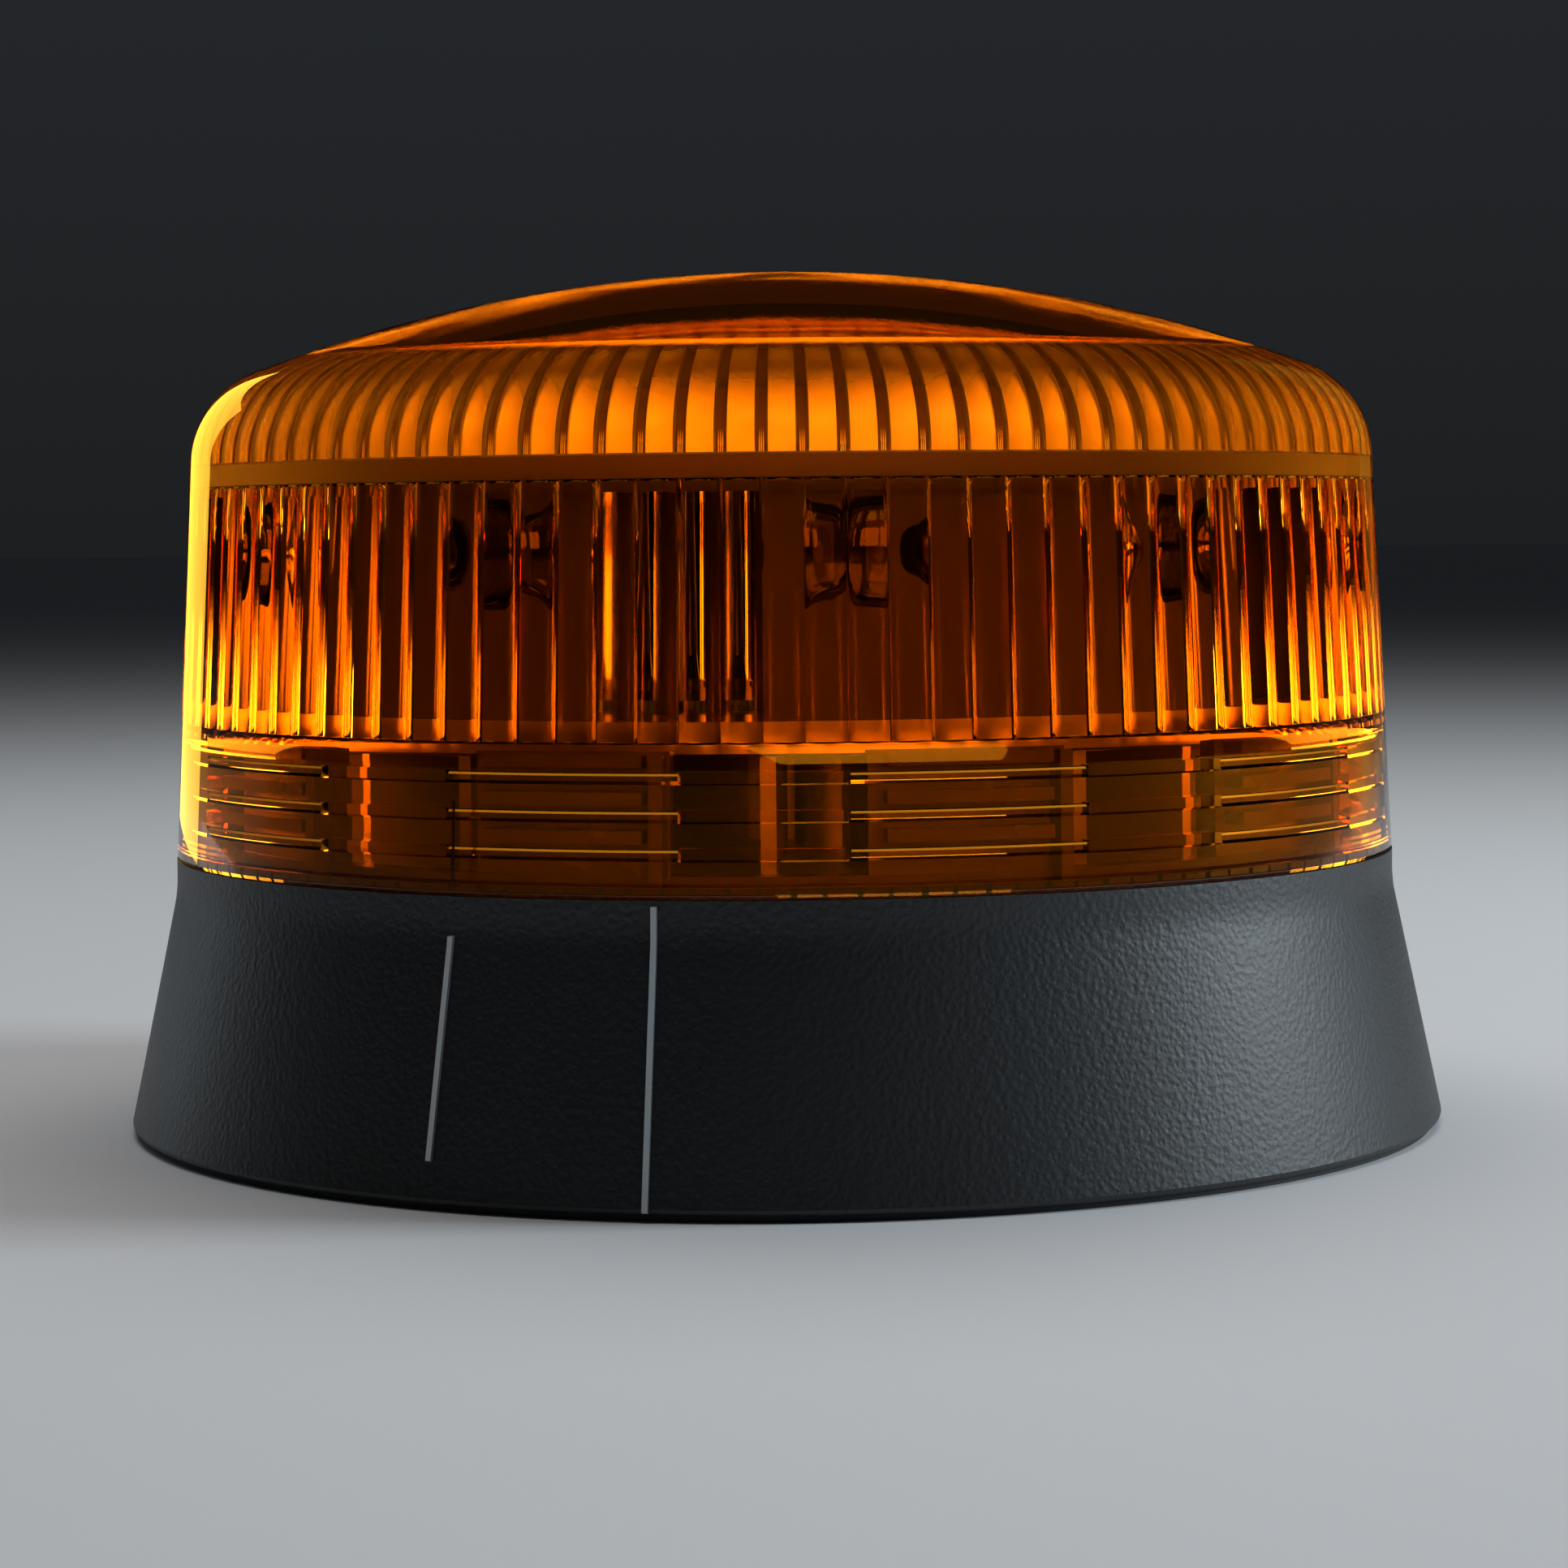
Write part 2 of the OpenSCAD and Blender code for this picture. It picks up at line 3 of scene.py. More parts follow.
import bpy
import numpy as np
from mathutils import Euler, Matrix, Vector


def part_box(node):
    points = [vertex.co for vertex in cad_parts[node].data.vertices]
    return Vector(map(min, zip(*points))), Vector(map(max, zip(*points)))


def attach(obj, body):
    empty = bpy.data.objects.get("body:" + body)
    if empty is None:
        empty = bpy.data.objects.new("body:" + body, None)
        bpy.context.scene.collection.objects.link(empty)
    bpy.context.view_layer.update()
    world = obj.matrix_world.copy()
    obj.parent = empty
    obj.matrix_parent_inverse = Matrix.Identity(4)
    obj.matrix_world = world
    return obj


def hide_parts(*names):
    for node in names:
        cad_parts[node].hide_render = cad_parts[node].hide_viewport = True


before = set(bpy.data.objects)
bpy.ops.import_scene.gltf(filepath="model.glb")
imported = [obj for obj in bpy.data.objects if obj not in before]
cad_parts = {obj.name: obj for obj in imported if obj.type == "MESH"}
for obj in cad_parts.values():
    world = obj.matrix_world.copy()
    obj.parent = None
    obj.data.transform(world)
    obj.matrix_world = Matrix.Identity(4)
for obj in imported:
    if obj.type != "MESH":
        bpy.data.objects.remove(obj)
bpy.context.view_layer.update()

MM = 0.001


# ---------- the light's own measures, in millimetres ----------

def mm_box(node):
    low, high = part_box(node)
    return low / MM, high / MM


lens_low, lens_high = mm_box("dome_lens")
housing_high = mm_box("base_housing")[1]

LEDGE_Z = housing_high.z
LENS_FOOT_Z = lens_low.z
CROWN_TOP = lens_high.z
NECK_R = lens_high.x
WALL_LEAN = 0.051
CROWN_R = 168.0
SHOULDER_R = 11.0
FRONT_MARK = -10.7
LOCK_TURN = 18
LUG_MID = FRONT_MARK + LOCK_TURN / 2
INDEX_LINES = [(FRONT_MARK - LOCK_TURN, 5.0, 27.0), (FRONT_MARK, 1.0, 30.4)]


def wall_r(z, off=0.0):
    """Radius of the lens's outer wall at height z, less off."""
    return NECK_R - WALL_LEAN * (z - LEDGE_Z) - off


def shoulder_centre():
    """Centre of the shoulder arc, tangent to the leaning wall and to the crown."""
    lean = math.hypot(1, WALL_LEAN)
    crown_z = CROWN_TOP - CROWN_R
    a = NECK_R + WALL_LEAN * LEDGE_Z - SHOULDER_R * lean
    b = a * WALL_LEAN + crown_z
    c = a * a + crown_z ** 2 - (CROWN_R - SHOULDER_R) ** 2
    z = (b + math.sqrt(b * b - lean * lean * c)) / lean ** 2
    return a - WALL_LEAN * z, z


SHOULDER_X, SHOULDER_Z = shoulder_centre()
CROWN_Z = CROWN_TOP - CROWN_R
CROWN_EDGE = math.atan2(SHOULDER_Z - CROWN_Z, SHOULDER_X)
WALL_TILT = math.atan(WALL_LEAN)


# ---------- making meshes ----------

class Shell:
    """Collects rings of points round the light's axis, and the faces between them."""

    def __init__(self):
        self.points = []
        self.faces = []
        self.satin = []

    def ring(self, angles, radii, heights, satin=0.0):
        """Adds a ring: angles in degrees from the front, the rest as numbers or arrays.

        satin says how matt the lens is there, and which paint its colour takes: 0 clear, PAD_SATIN a pad
        with painted light, 1 a rib with painted shade."""
        turn = np.radians(np.asarray(angles) - 90)
        radii = np.broadcast_to(radii, turn.shape)
        heights = np.broadcast_to(heights, turn.shape)
        start = len(self.points)
        self.points += list(zip(radii * np.cos(turn), radii * np.sin(turn), heights))
        self.satin += list(np.broadcast_to(satin, turn.shape))
        return start, np.asarray(angles, float)

    def join(self, low, high):
        """Faces between two rings, which meet at every angle that they share."""
        (a, low_angles), (b, high_angles) = low, high
        shared = [x for x in low_angles if np.abs(high_angles - x).min() < 1e-6]
        i_at = [int(np.abs(low_angles - x).argmin()) for x in shared]
        j_at = [int(np.abs(high_angles - x).argmin()) for x in shared]
        for k in range(len(shared)):
            i0, i1 = i_at[k], i_at[(k + 1) % len(shared)]
            j0, j1 = j_at[k], j_at[(k + 1) % len(shared)]
            i1 += len(low_angles) if i1 <= i0 else 0
            j1 += len(high_angles) if j1 <= j0 else 0
            bottom = [a + i % len(low_angles) for i in range(i0, i1 + 1)]
            top = [b + j % len(high_angles) for j in range(j1, j0 - 1, -1)]
            self.faces.append(bottom + top)

    def loft(self, rings):
        for low, high in zip(rings, rings[1:]):
            self.join(low, high)

    def close(self, ring, height, flip=False):
        """Closes a ring with a fan to one point on the axis."""
        start, angles = ring
        n = len(angles)
        self.points.append((0.0, 0.0, height))
        self.satin.append(0.0)
        tip = len(self.points) - 1
        for i in range(n):
            face = [start + i, start + (i + 1) % n, tip]
            self.faces.append(face[::-1] if flip else face)

    def block(self, corners):
        """A closed six-sided block from its four bottom and four top corners."""
        k = len(self.points)
        self.points += corners
        self.satin += [0.0] * len(corners)
        for face in ((3, 2, 1, 0), (4, 5, 6, 7), (0, 1, 5, 4), (1, 2, 6, 5), (2, 3, 7, 6), (3, 0, 4, 7)):
            self.faces.append([k + i for i in face])


def make_piece(name, points, faces, body, sharp=30.0):
    """A smooth-shaded mesh object, in metres from points in millimetres, that rides on a body."""
    mesh = bpy.data.meshes.new(name)
    mesh.from_pydata([Vector(p) * MM for p in points], [], faces)
    mesh.shade_smooth()
    mesh.set_sharp_from_angle(angle=math.radians(sharp))
    piece = bpy.data.objects.new(name, mesh)
    bpy.context.scene.collection.objects.link(piece)
    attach(piece, body)
    return piece


# ---------- the amber lens ----------

FLUTES = 100
FLUTE = 360 / FLUTES
LENS_WALL = 3.0
POCKET_FLOOR = 3.5
RIB_DEPTH = 0.95
POCKET_END = 17.5
PAD_SATIN = 0.75
CROWN_WALL = 4.4
FLUTE_DEPTH = 0.75
POCKET_BULGE = 0.22
FLUTE_TOP = 72.4
SHOULDER_LEDGE = 74.9
BAND_TOP = 46.4
BAND_R = 66.5
GROOVE_IN, GROOVE_OUT = 67.2, 68.8
GROOVE_TOP = 32.25
LUG_STACKS = 10
LUG_R = 64.8
LUG_SPAN = 7.2
LUG_END = 0.12
RIDGE = 0.3
LUG_TIERS = [(34.6 + 3.8 * i, 35.9 + 3.8 * i) for i in range(3)]

# places across one flute, from the middle of a rib at -0.5 to the next at 0.5
ACROSS = np.array([-0.5, -0.475, -0.45, -0.425, -0.4, -0.375, -0.335, -0.2,
                   0.0, 0.2, 0.335, 0.375, 0.4, 0.425, 0.45, 0.475])
RIB_EDGE = 0.355
HAIR_LENGTH = 3.4
HAIR_DEPTH = 0.05
HAIRLINES = np.array([1, -0.6, 1, -0.6, 0, 0, 0, 0, 0, 0, 0, 0, 0, -0.6, 1, -0.6])


def coarse_angles():
    return LUG_MID + np.arange(2 * FLUTES) * FLUTE / 2


def fine_angles():
    return (LUG_MID + (np.arange(FLUTES)[:, None] + 0.5 + ACROSS[None, :]) * FLUTE).ravel()


def band_angles():
    """Coarse places, and two close together at each end of every stack of lugs."""
    reach = LUG_SPAN + LUG_END
    stacks = np.arange(LUG_STACKS) * 360 / LUG_STACKS
    ends = LUG_MID + np.concatenate([(stacks + side * reach) % 360 for side in (-1, 1)])
    return np.sort(np.concatenate([coarse_angles(), ends]))


def in_lug(angles):
    sector = 360 / LUG_STACKS
    off = (np.asarray(angles) - LUG_MID + sector / 2) % sector - sector / 2
    return np.abs(off) < LUG_SPAN + 0.01


def lens_outline(off, steps_wall, steps_shoulder, steps_crown, wall_from):
    """Radius and height along the lens, offset inwards by off, from the wall up to near the top."""
    rows = []
    end_z = SHOULDER_Z + (SHOULDER_R - off) * math.sin(WALL_TILT)
    for t in np.linspace(0, 1, steps_wall, endpoint=False):
        z = wall_from + (end_z - wall_from) * t
        rows.append((wall_r(z, off * math.hypot(1, WALL_LEAN)), z))
    for t in np.linspace(0, 1, steps_shoulder, endpoint=False):
        a = WALL_TILT + (CROWN_EDGE - WALL_TILT) * t
        r = SHOULDER_R - off
        rows.append((SHOULDER_X + r * math.cos(a), SHOULDER_Z + r * math.sin(a)))
    for t in np.linspace(0, 1, steps_crown, endpoint=False):
        a = CROWN_EDGE + (math.pi / 2 - CROWN_EDGE) * t
        rows.append(((CROWN_R - off) * math.cos(a), CROWN_Z + (CROWN_R - off) * math.sin(a)))
    return rows


def shoulder_point(along, off):
    """A point along is that many millimetres past the ledge, up the shoulder and on to the crown."""
    arc_length = (CROWN_EDGE - WALL_TILT) * SHOULDER_R
    if along < 0:
        z = SHOULDER_Z + along
        return wall_r(z, off), z
    if along < arc_length:
        a = WALL_TILT + along / SHOULDER_R
        return SHOULDER_X + (SHOULDER_R - off) * math.cos(a), SHOULDER_Z + (SHOULDER_R - off) * math.sin(a)
    a = CROWN_EDGE + (along - arc_length) / CROWN_R
    return (CROWN_R - off) * math.cos(a), CROWN_Z + (CROWN_R - off) * math.sin(a)


def make_lens():
    shell = Shell()
    coarse, fine, band = coarse_angles(), fine_angles(), band_angles()
    across = np.tile(ACROSS, FLUTES)

    # outside, from the top down to the foot
    outer = [shell.ring(coarse, r, z) for r, z in lens_outline(0, 10, 22, 16, LENS_FOOT_Z + 0.4)]
    foot = shell.ring(band, wall_r(LENS_FOOT_Z) - 0.3, LENS_FOOT_Z)
    shell.join(foot, outer[0])
    shell.loft(outer)
    shell.close(outer[-1], CROWN_TOP)

    # underside, with the groove for the seal
    inside_foot = shell.ring(band, BAND_R, LENS_FOOT_Z)
    groove = [shell.ring(band, r, z) for r, z in (
        (GROOVE_IN, LENS_FOOT_Z), (GROOVE_IN, GROOVE_TOP),
        (GROOVE_OUT, GROOVE_TOP), (GROOVE_OUT, LENS_FOOT_Z))]
    shell.loft([inside_foot] + groove + [foot])

    # plain band with its stacks of lugs
    lug = in_lug(band)
    rows = [inside_foot]
    for low, high in LUG_TIERS:
        for z, inner, ridge in ((low, BAND_R, 0), (low + 0.05, LUG_R, 0), (low + 0.4, LUG_R, RIDGE),
                                (high - 0.4, LUG_R, RIDGE), (high - 0.05, LUG_R, 0), (high, BAND_R, 0)):
            rows.append(shell.ring(band, np.where(lug, inner, BAND_R - ridge), z))
    rows.append(shell.ring(band, BAND_R, BAND_TOP - 0.5))
    ledge = shell.ring(coarse, BAND_R - 0.3, BAND_TOP)
    rows.append(ledge)

    # fluted wall
    bulge = FLUTE_DEPTH * (1 - (2 * np.abs(across)) ** 2)
    for z in (BAND_TOP, BAND_TOP + 0.3, 56.0, 66.0, FLUTE_TOP - 0.2):
        rows.append(shell.ring(fine, wall_r(z, LENS_WALL) - bulge, z))
    rows.append(shell.ring(fine, wall_r(FLUTE_TOP, LENS_WALL), FLUTE_TOP))
    # the plain step below the pads takes satin 1, so it gets the ribs' painted shade
    for z in (FLUTE_TOP + 0.15, SHOULDER_LEDGE - 0.12):
        rows.append(shell.ring(fine, wall_r(z, LENS_WALL - 0.25), z, 1.0))

    # pockets over the shoulder, with a rib between each pair
    dish = POCKET_BULGE * np.maximum(0, 1 - (across / RIB_EDGE) ** 2)
    deep = np.abs(across) < RIB_EDGE
    corner, end_wall = 1.3, 0.6
    alongs = [-0.2, 0.1] + list(np.linspace(0.8, POCKET_END - corner, 18))
    alongs += [POCKET_END - corner * x for x in (0.8, 0.6, 0.48)]
    alongs += [POCKET_END - end_wall * x for x in (0.95, 0.5, 0)]
    for along in alongs:
        left = POCKET_END - along
        round_in = 1.0 if left > corner else 1 - 0.4 * (1 - left / corner) ** 2
        depth = min(1.0, left / end_wall)
        fade = max(0.0, 1 - along / HAIR_LENGTH)
        hair = HAIR_DEPTH * np.tile(HAIRLINES, FLUTES) * fade
        off = POCKET_FLOOR + RIB_DEPTH * np.where(deep, 1 - depth, 1) + dish * depth + hair
        angles = fine + np.where(deep, across * (round_in - 1), 0) * FLUTE
        points = [shoulder_point(along, each) for each in off]
        line = np.tile(HAIRLINES > 0, FLUTES) * fade
        # pads take PAD_SATIN and painted light, ribs take 1 and painted shade, and the hairlines on the
        # ribs take the pads' painted light
        satin = np.where(deep, PAD_SATIN, 1 - (1 - PAD_SATIN) * line)
        ring = shell.ring(angles, np.array([p[0] for p in points]), np.array([p[1] for p in points]), satin)
        rows.append((ring[0], fine))

    # smooth inside of the crown, an even thickness below the outside
    end = CROWN_R * (math.pi / 2 - CROWN_EDGE) + (CROWN_EDGE - WALL_TILT) * SHOULDER_R
    for t in (0.02, 0.05, 0.1, 0.18, 0.3, 0.45, 0.6, 0.75, 0.88, 0.96):
        r, z = shoulder_point(POCKET_END + (end - POCKET_END) * t, CROWN_WALL)
        rows.append(shell.ring(coarse, r, z))
    inner = Shell()
    inner.points, inner.satin = shell.points, shell.satin
    inner.loft(rows)
    inner.close(rows[-1], CROWN_TOP - CROWN_WALL)
    shell.faces += [face[::-1] for face in inner.faces]

    # index line outside, by the foot
    turn = math.radians(FRONT_MARK - LOCK_TURN - 90)
    side = Vector((-math.sin(turn), math.cos(turn), 0)) * 0.22
    out = Vector((math.cos(turn), math.sin(turn), 0))
    corners = []
    for z in (LENS_FOOT_Z + 0.7, LENS_FOOT_Z + 9.6):
        for reach, way in ((-0.03, -1), (0.22, -0.5), (0.22, 0.5), (-0.03, 1)):
            corners.append(tuple(out * (wall_r(z) + reach) + side * way + Vector((0, 0, z))))
    shell.block(corners)

    lens = make_piece("amber_lens", shell.points, shell.faces, "lens", sharp=32)
    lens.data.attributes.new("satin", "FLOAT", "POINT").data.foreach_set("value", shell.satin)
    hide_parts("dome_lens")
    return lens


# ---------- finishes ----------

# the pads' painted light, a brighter yellow, comes in and goes out between these heights, less what the
# swirl takes off them
PAINTED_LIGHT_FROM, PAINTED_LIGHT_FULL = 79.0, 81.5
PAINTED_LIGHT_FADE, PAINTED_LIGHT_END = 86.5, 89.5
SWIRL_IN, SWIRL_OUT = 5, 4


class Wire:
    """A socket of a finish that works in ordinary sums: each sum adds its Math node."""

    def __init__(self, finish, socket):
        self.finish = finish
        self.socket = socket

    def sum(self, operation, first, second):
        return self.finish.add("ShaderNodeMath", {"operation": operation}, {0: first, 1: second})

    def __add__(self, other):
        return self.sum("ADD", self, other)

    def __radd__(self, other):
        return self.sum("ADD", other, self)

    def __sub__(self, other):
        return self.sum("SUBTRACT", self, other)

    def __rsub__(self, other):
        return self.sum("SUBTRACT", other, self)

    def __mul__(self, other):
        return self.sum("MULTIPLY", self, other)

    def __rmul__(self, other):
        return self.sum("MULTIPLY", other, self)


class Finish:
    """A material with a Principled shader, and one method that adds any other node."""

    def __init__(self, name, **sockets):
        self.material = bpy.data.materials.new(name)
        self.material.use_nodes = True
        self.tree = self.material.node_tree
        self.shader = self.tree.nodes["Principled BSDF"]
        self.set(**sockets)
        self.place = self.add("ShaderNodeTexCoord", out="Object")

    def put(self, socket, value):
        if isinstance(value, Wire):
            self.tree.links.new(value.socket, socket)
        elif isinstance(value, tuple) and len(value) == 3 and len(socket.default_value) == 4:
            socket.default_value = (*value, 1.0)
        else:
            socket.default_value = value

    def add(self, kind, settings=None, sockets=None, out=0):
        """Adds a node: its settings first, then its sockets' values or links. Gives one of its outputs."""
        node = self.tree.nodes.new(kind)
        for name, value in (settings or {}).items():
            if name == "stops":
                ramp = node.color_ramp.elements
                while len(ramp) < len(value):
                    ramp.new(1.0)
                for stop, (at, colour) in zip(ramp, value):
                    stop.position, stop.color = at, (*colour, 1.0)
            else:
                setattr(node, name, value)
        for name, value in (sockets or {}).items():
            self.put(node.inputs[name], value)
        return Wire(self, node.outputs[out])

    def set(self, **sockets):
        """Sets the shader's sockets by name, with underscores for spaces."""
        for name, value in sockets.items():
            self.put(self.shader.inputs[name.replace("_", " ")], value)
        return self

    def noise(self, size_mm, detail=2.0, roughness=0.5, place=None):
        """Soft noise with lumps of about size_mm, from 0 to 1."""
        return self.add("ShaderNodeTexNoise", None, {
            "Vector": place or self.place, "Scale": 1000 / size_mm,
            "Detail": detail, "Roughness": roughness})

    def cells(self, size_mm, feature="F1"):
        """Distance to the nearest of many cell centres about size_mm apart."""
        return self.add("ShaderNodeTexVoronoi", {"feature": feature}, {
            "Vector": self.place, "Scale": 1000 / size_mm}, "Distance")

    def between(self, share, low, high):
        """A number that goes from low to high as share goes from 0 to 1."""
        return self.add("ShaderNodeMapRange", None, {
            "Value": share, "To Min": low, "To Max": high})

    def step(self, value, low, high):
        """0 below low and 1 above high, with a smooth slope between them."""
        return self.add("ShaderNodeMapRange", {"interpolation_type": "SMOOTHSTEP"}, {
            "Value": value, "From Min": low, "From Max": high})

    def colours(self, share, first, second):
        """A colour between two, by share."""
        return self.add("ShaderNodeMix", {"data_type": "RGBA"}, {
            "Factor": share, 6: first, 7: second}, 2)

    def axes(self):
        """The place in metres along x, y and z."""
        node = self.add("ShaderNodeSeparateXYZ", None, {0: self.place}).socket.node
        return [Wire(self, node.outputs[i]) for i in range(3)]

    def radius(self):
        """Distance from the light's axis, in metres."""
        flat = self.add("ShaderNodeVectorMath", {"operation": "MULTIPLY"}, {0: self.place, 1: (1, 1, 0)})
        return self.add("ShaderNodeVectorMath", {"operation": "LENGTH"}, {0: flat}, "Value")

    def bump(self, height, depth_mm, strength=1.0):
        """Raises the surface by height times depth_mm."""
        bump = self.add("ShaderNodeBump", None, {
            "Height": height, "Distance": depth_mm * MM, "Strength": strength})
        return self.set(Normal=bump)


def amber():
    """Clear amber, satin inside the shoulder; its ribs and the plain step below the pads take painted
    shade, a near-black brown, and its pads take painted light, a clearer yellow.
    """
    f = Finish("clear_amber", Transmission_Weight=1.0, IOR=1.5)
    haze = f.noise(9, 3)
    satin = f.add("ShaderNodeAttribute", {"attribute_name": "satin"}, None, "Fac")
    # rib picks out the ribs and the plain step below the pads, where satin is near 1: these get painted
    # shade
    rib = f.step(satin, 0.8, 0.96)
    clear = f.colours(haze, (1.0, 0.42, 0.03), (1.0, 0.38, 0.022))
    z = f.axes()[2]
    swirl = f.noise(7, 2)
    rising = f.step(z + swirl * (SWIRL_IN * MM), PAINTED_LIGHT_FROM * MM, PAINTED_LIGHT_FULL * MM)
    falling = f.step(z + swirl * (SWIRL_OUT * MM), PAINTED_LIGHT_END * MM, PAINTED_LIGHT_FADE * MM)
    painted_pad_light = rising * falling
    # painted light: the pads take a clearer yellow than the amber, brightest between the heights above
    pad = f.colours(painted_pad_light, (0.80, 0.62, 0.08), (1.0, 1.0, 0.36))
    body = f.colours(f.step(satin, 0.2, 0.6), clear, pad)
    # painted shade: a near-black brown in place of the clear amber on the ribs
    f.set(Base_Color=f.colours(rib, body, (0.012, 0.0026, 0.0002)))
    f.set(Roughness=f.between(haze, 0.01, 0.03) + satin * 0.58)
    f.bump(f.noise(14, 1), 0.05, 0.3)
    absorb = f.add("ShaderNodeVolumeAbsorption", None, {"Color": (1.0, 0.74, 0.12), "Density": 120.0})
    f.tree.links.new(absorb.socket, f.tree.nodes["Material Output"].inputs["Volume"])
    return f.material


def grained_black():
    """Black with a fine moulded grain, and a painted highlight, pale grey, along the two raised index
    lines.
    """
    f = Finish("grained_black")
    grain = f.cells(0.6, "SMOOTH_F1")
    fine = f.noise(0.3, 3)
    patch = f.noise(22, 3)
    x, y, z = f.axes()
    painted_line_highlight = 0
    for angle, low, high in INDEX_LINES:
        turn = math.radians(angle - 90)
        aside = x * math.sin(turn) - y * math.cos(turn)
        beside = f.add("ShaderNodeMath", {"operation": "ABSOLUTE"}, {0: aside})
        ahead = x * math.cos(turn) + y * math.sin(turn)
        line = f.step(beside, 0.00036, 0.00026) * f.step(ahead, 0.06, 0.061)
        painted_line_highlight = painted_line_highlight + line * f.step(z, (low - 0.1) * MM, low * MM) * f.step(z, (high + 0.1) * MM, high * MM)
    plain = f.colours(patch, (0.008, 0.009, 0.010), (0.014, 0.015, 0.017))
    # painted highlight: pale grey where the raised index lines catch the light
    f.set(Base_Color=f.colours(painted_line_highlight, plain, (0.62, 0.66, 0.68)))
    f.set(Roughness=f.between(patch * 0.5 + fine * 0.5, 0.40, 0.56))
    f.set(Specular_IOR_Level=0.55)
    f.bump(grain * 0.7 + fine * 0.3, 0.12, 0.8)
    return f.material


def moulded_black(name="moulded_black", tone=0.012, gloss=0.3):
    f = Finish(name)
    patch = f.noise(12, 3)
    fine = f.noise(0.5, 2)
    f.set(Base_Color=f.colours(patch, (tone, tone, tone * 1.08), (tone * 1.7, tone * 1.7, tone * 1.8)))
    f.set(Roughness=f.between(patch, gloss, gloss + 0.12))
    f.bump(fine, 0.02, 0.5)
    return f.material


def glossy_black():
    f = Finish("glossy_black", Coat_Weight=0.6, Coat_Roughness=0.05)
    patch = f.noise(9, 2)
    f.set(Base_Color=f.colours(patch, (0.08, 0.08, 0.083), (0.10, 0.10, 0.104)))
    f.set(Roughness=f.between(patch, 0.10, 0.2))
    f.bump(patch, 0.04, 0.4)
    return f.material


def rubber():
    f = Finish("black_rubber")
    speck = f.noise(0.7, 3)
    f.set(Base_Color=f.colours(speck, (0.012, 0.012, 0.012), (0.03, 0.03, 0.031)))
    f.set(Roughness=f.between(speck, 0.62, 0.85))
    f.bump(speck, 0.05, 0.6)
    return f.material


def metal(name, light, dark, rough, lump=2.5, depth=0.02):
    f = Finish(name, Metallic=1.0)
    wear = f.noise(lump, 4)
    f.set(Base_Color=f.colours(wear, dark, light))
    f.set(Roughness=f.between(wear, rough, rough + 0.18))
    f.bump(f.noise(lump / 4, 2), depth, 0.5)
    return f.material


def turned_metal(name, light, dark, rough):
    """Metal with fine turning lines round the light's axis."""
    f = Finish(name, Metallic=1.0)
    rings = f.add("ShaderNodeTexNoise", {"noise_dimensions": "1D"}, {
        "W": f.radius() * 1000, "Scale": 3.0, "Detail": 3.0})
    f.set(Base_Color=f.colours(rings, dark, light))
    f.set(Roughness=f.between(rings, rough, rough + 0.2))
    f.bump(rings, 0.03, 0.5)
    return f.material


def circuit_board(name, mask, copper):
    """Solder mask over fine tracks."""
    f = Finish(name, Coat_Weight=0.4)
    tracks = f.add("ShaderNodeTexBrick", {"offset": 0.5}, {
        "Vector": f.place, "Scale": 260.0, "Mortar Size": 0.035,
        "Color1": (0, 0, 0), "Color2": (0, 0, 0), "Mortar": (1, 1, 1)})
    dots = f.step(f.cells(2.2), 0.34, 0.28)
    bare = f.add("ShaderNodeMath", {"operation": "MAXIMUM"}, {0: tracks, 1: dots})
    f.set(Base_Color=f.colours(bare, mask, copper))
    f.set(Roughness=f.between(f.noise(3), 0.28, 0.42))
    f.bump(tracks, 0.04, 0.4)
    return f.material


def cup_painted_shade():
    """Bright metal painted a dark grey as painted shade, so that the cups stay quiet behind the lens."""
    f = Finish("cup_painted_shade", Metallic=1.0)
    breath = f.noise(3, 2)
    # painted shade: a dark grey in place of the cups' bright metal
    f.set(Base_Color=f.colours(breath, (0.15, 0.15, 0.16), (0.20, 0.20, 0.21)))
    f.set(Roughness=f.between(breath, 0.12, 0.2))
    return f.material


def optic_painted_shade():
    """Clear plastic given a grey tint as painted shade, so that the optics stay quiet behind the lens."""
    f = Finish("optic_painted_shade", Transmission_Weight=1.0, IOR=1.49)
    haze = f.noise(2, 2)
    # painted shade: a grey tint in place of the optics' clear plastic
    f.set(Base_Color=f.colours(haze, (0.50, 0.51, 0.53), (0.42, 0.43, 0.45)))
    f.set(Roughness=f.between(haze, 0.02, 0.06))
    return f.material


def emitter():
    f = Finish("phosphor")
    speck = f.noise(0.4, 3)
    f.set(Base_Color=f.colours(speck, (0.86, 0.62, 0.08), (0.95, 0.76, 0.2)))
    f.set(Roughness=f.between(speck, 0.25, 0.45))
    return f.material


def insulation(name, tone):
    f = Finish(name)
    scuff = f.noise(2, 3)
    f.set(Base_Color=f.colours(scuff, tone, tuple(c * 0.7 for c in tone)))
    f.set(Roughness=f.between(scuff, 0.32, 0.5))
    f.bump(scuff, 0.03, 0.4)
    return f.material


